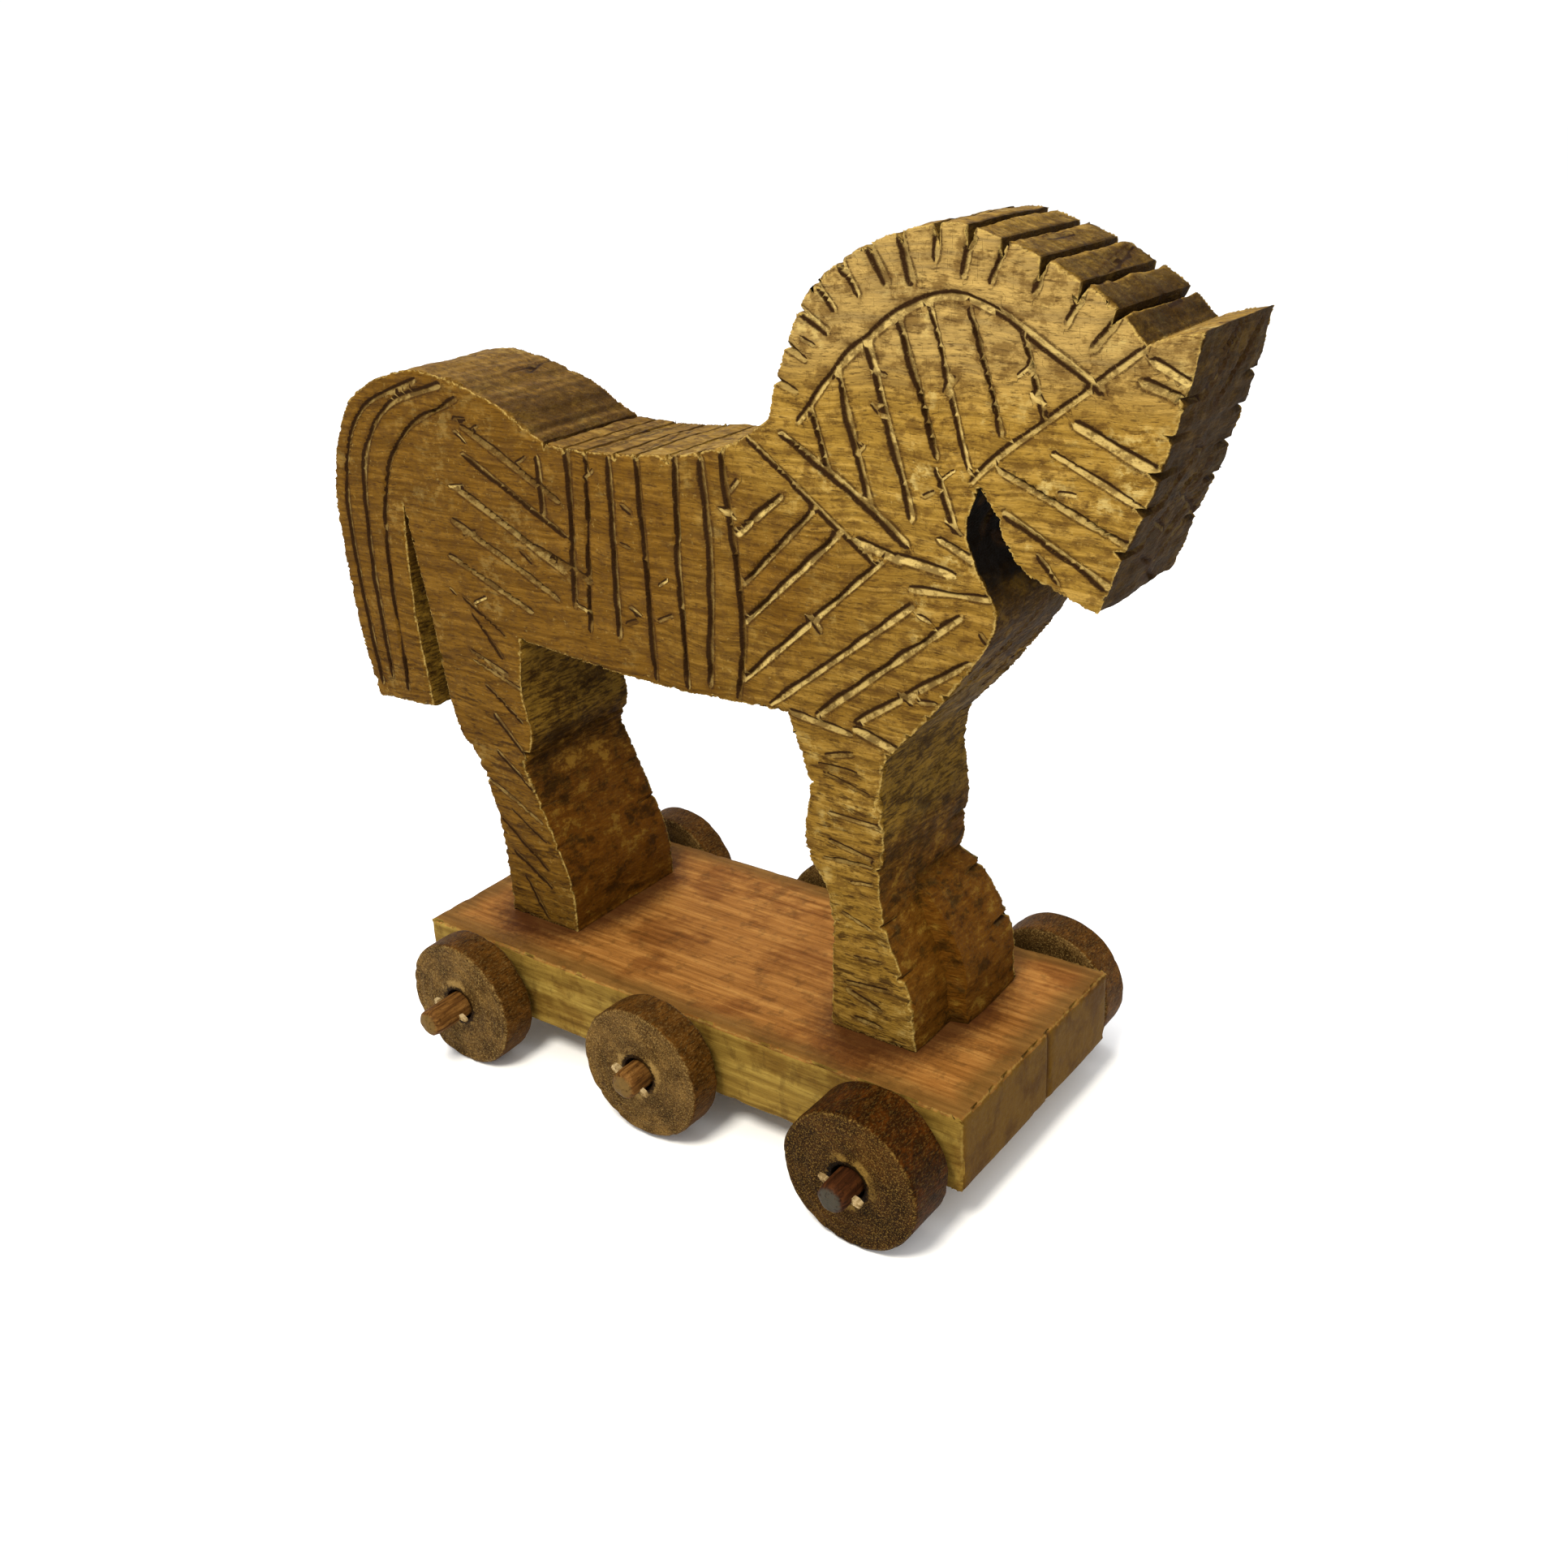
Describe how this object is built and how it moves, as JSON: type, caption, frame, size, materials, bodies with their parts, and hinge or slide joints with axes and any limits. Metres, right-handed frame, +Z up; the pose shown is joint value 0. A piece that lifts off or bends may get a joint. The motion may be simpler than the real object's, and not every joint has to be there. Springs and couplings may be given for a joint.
{
  "type": "carved wooden horse figurine",
  "caption": "Carved wooden horse figurine, sawn from one thick board and cut with knife lines, standing on a plank with freely turning wooden disc wheels.",
  "frame": {"origin": "bottom centre of the bounding box: on the ground, midway between tail and ear tip and midway between the axle ends", "axes": "+X the way the horse faces, +Z up, +Y towards the side of the thinner front wheel"},
  "size_m": [0.1684, 0.086, 0.1502],
  "materials": {
    "carved_pale_wood": "satin, antique-stained",
    "red_brown_plank": "satin, stained",
    "front_axle_wood": "stained dowel",
    "front_near_pin_wood": "raw sliver",
    "front_near_wheel_wood": "stained end grain",
    "front_far_pin_wood": "raw sliver",
    "front_far_wheel_wood": "stained end grain",
    "middle_axle_wood": "stained dowel",
    "middle_near_pin_wood": "raw sliver",
    "middle_near_wheel_wood": "stained end grain",
    "middle_far_pin_wood": "raw sliver",
    "middle_far_wheel_wood": "stained end grain",
    "rear_axle_wood": "stained dowel",
    "rear_near_pin_wood": "raw sliver",
    "rear_near_wheel_wood": "stained end grain",
    "rear_far_pin_wood": "raw sliver",
    "rear_far_wheel_wood": "stained end grain"
  },
  "bodies": {
    "figure": {"horse_body": "carved_pale_wood", "base_plank": "red_brown_plank", "front_axle": "front_axle_wood", "middle_axle": "middle_axle_wood", "rear_axle": "rear_axle_wood", "front_near_pin": "front_near_pin_wood", "front_far_pin": "front_far_pin_wood", "middle_near_pin": "middle_near_pin_wood", "middle_far_pin": "middle_far_pin_wood", "rear_near_pin": "rear_near_pin_wood", "rear_far_pin": "rear_far_pin_wood"},
    "front_near_wheel": {"front_near_wheel": "front_near_wheel_wood"},
    "front_far_wheel": {"front_far_wheel": "front_far_wheel_wood"},
    "middle_near_wheel": {"middle_near_wheel": "middle_near_wheel_wood"},
    "middle_far_wheel": {"middle_far_wheel": "middle_far_wheel_wood"},
    "rear_near_wheel": {"rear_near_wheel": "rear_near_wheel_wood"},
    "rear_far_wheel": {"rear_far_wheel": "rear_far_wheel_wood"}
  },
  "joints": [
    {"name": "front_near_wheel_spin", "type": "hinge", "parent": "figure", "child": "front_near_wheel", "pos_m": [0.0455, -0.0325, 0.0125], "axis": [0, 1, 0], "continuous": true},
    {"name": "front_far_wheel_spin", "type": "hinge", "parent": "figure", "child": "front_far_wheel", "pos_m": [0.0455, 0.03125, 0.0125], "axis": [0, 1, 0], "continuous": true},
    {"name": "middle_near_wheel_spin", "type": "hinge", "parent": "figure", "child": "middle_near_wheel", "pos_m": [0, -0.03085, 0.0134], "axis": [0, 1, 0], "continuous": true},
    {"name": "middle_far_wheel_spin", "type": "hinge", "parent": "figure", "child": "middle_far_wheel", "pos_m": [0, 0.03085, 0.0134], "axis": [0, 1, 0], "continuous": true},
    {"name": "rear_near_wheel_spin", "type": "hinge", "parent": "figure", "child": "rear_near_wheel", "pos_m": [-0.0443, -0.03095, 0.0125], "axis": [0, 1, 0], "continuous": true},
    {"name": "rear_far_wheel_spin", "type": "hinge", "parent": "figure", "child": "rear_far_wheel", "pos_m": [-0.0443, 0.03085, 0.0125], "axis": [0, 1, 0], "continuous": true}
  ]
}
